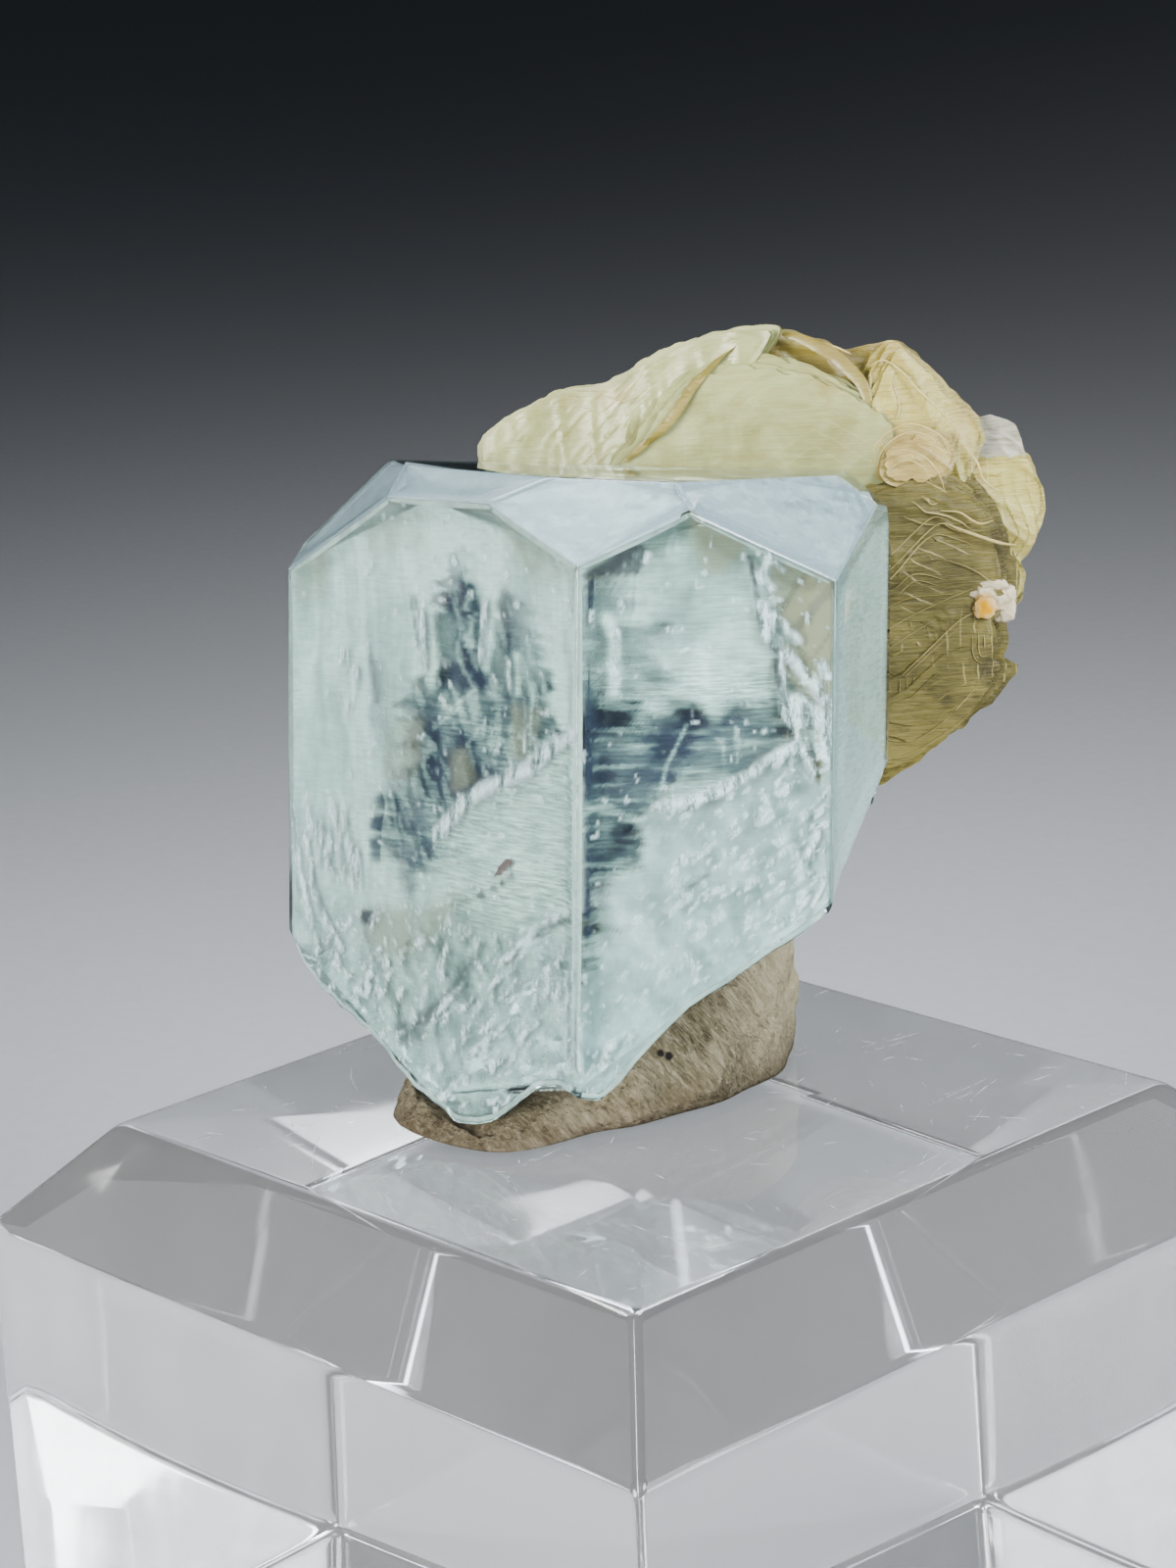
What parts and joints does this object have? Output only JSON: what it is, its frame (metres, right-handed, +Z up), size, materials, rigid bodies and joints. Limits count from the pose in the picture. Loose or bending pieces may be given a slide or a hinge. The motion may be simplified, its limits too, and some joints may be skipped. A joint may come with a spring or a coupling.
{
  "type": "aquamarine on mica specimen",
  "caption": "Clear hexagonal aquamarine crystal with pale mica books on its back, fixed with mineral putty to a square bevelled clear acrylic display block.",
  "frame": {"origin": "middle of the acrylic block's underside, on the surface it stands on", "axes": "+Z up, -Y is the display side, the block is turned 43 degrees about Z so that a corner points at the viewer"},
  "size_m": [0.0534, 0.0534, 0.0541],
  "materials": {
    "clear_acrylic": "clear polished acrylic with fine scratches and softly rounded edges",
    "aquamarine": "clear very pale blue-green beryl with milky veils, growth tubes and a broken foot",
    "mica": "pearly cream to olive muscovite books with amber stained folds",
    "mineral_putty": "dull beige-grey pressed putty with fibrous wrinkles"
  },
  "bodies": {
    "root": {"acrylic_block": "clear_acrylic", "aquamarine_crystal": "aquamarine", "mica_cluster": "mica", "mounting_putty": "mineral_putty"}
  },
  "joints": []
}
